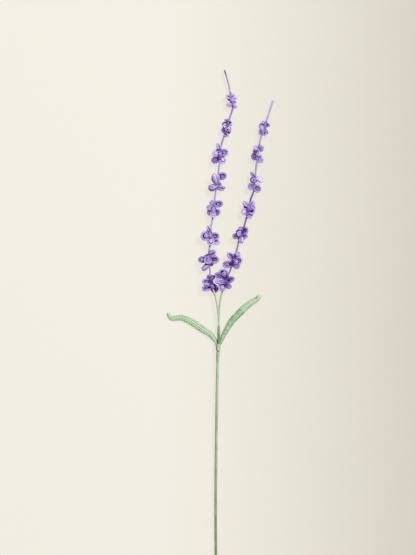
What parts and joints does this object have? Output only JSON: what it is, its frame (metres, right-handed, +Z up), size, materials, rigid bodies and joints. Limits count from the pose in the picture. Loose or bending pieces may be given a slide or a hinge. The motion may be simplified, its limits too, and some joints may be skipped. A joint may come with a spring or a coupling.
{
  "type": "crocheted lavender spray",
  "caption": "Crocheted lavender spray lying flat: a long yarn-wound wire stem, two slender crocheted leaves and two forked spikes of small crocheted flowers.",
  "frame": {"origin": "middle of the footprint, on the surface that the spray lies on", "axes": "+Y along the spray from the cut end of the stem to the spike tips, +X across it with the higher leaf and the right spike on that side, +Z up from the surface"},
  "size_m": [0.0914, 0.451, 0.0098],
  "materials": {
    "stem_yarn": "wound sage green cotton yarn, matt, with fine turns across the stem",
    "leaf_yarn": "crocheted pale green cotton yarn, matt, with chain edges and small stitch holes",
    "spike_thread": "tightly wound light purple thread, slightly silky",
    "flower_yarn": "crocheted purple cotton yarn, matt, light on the stitches and deep violet in the cups",
    "wire": "plain galvanised stem wire"
  },
  "bodies": {
    "root": {"stem_wrap": "stem_yarn", "collar_wrap": "stem_yarn", "neck_wrap": "stem_yarn", "left_branch_wrap": "stem_yarn", "right_branch_wrap": "stem_yarn", "left_spike_wrap": "spike_thread", "right_spike_wrap": "spike_thread", "stem_wire": "wire", "left_spike_wire": "wire", "right_spike_wire": "wire", "left_leaf_wire": "wire", "right_leaf_wire": "wire", "left_leaf": "leaf_yarn", "right_leaf": "leaf_yarn", "left_flower_1": "flower_yarn", "left_flower_2": "flower_yarn", "left_flower_3": "flower_yarn", "left_flower_4": "flower_yarn", "left_flower_5": "flower_yarn", "left_flower_6": "flower_yarn", "left_flower_7": "flower_yarn", "left_flower_8": "flower_yarn", "right_flower_1": "flower_yarn", "right_flower_2": "flower_yarn", "right_flower_3": "flower_yarn", "right_flower_4": "flower_yarn", "right_flower_5": "flower_yarn", "right_flower_6": "flower_yarn", "right_flower_7": "flower_yarn"}
  },
  "joints": []
}
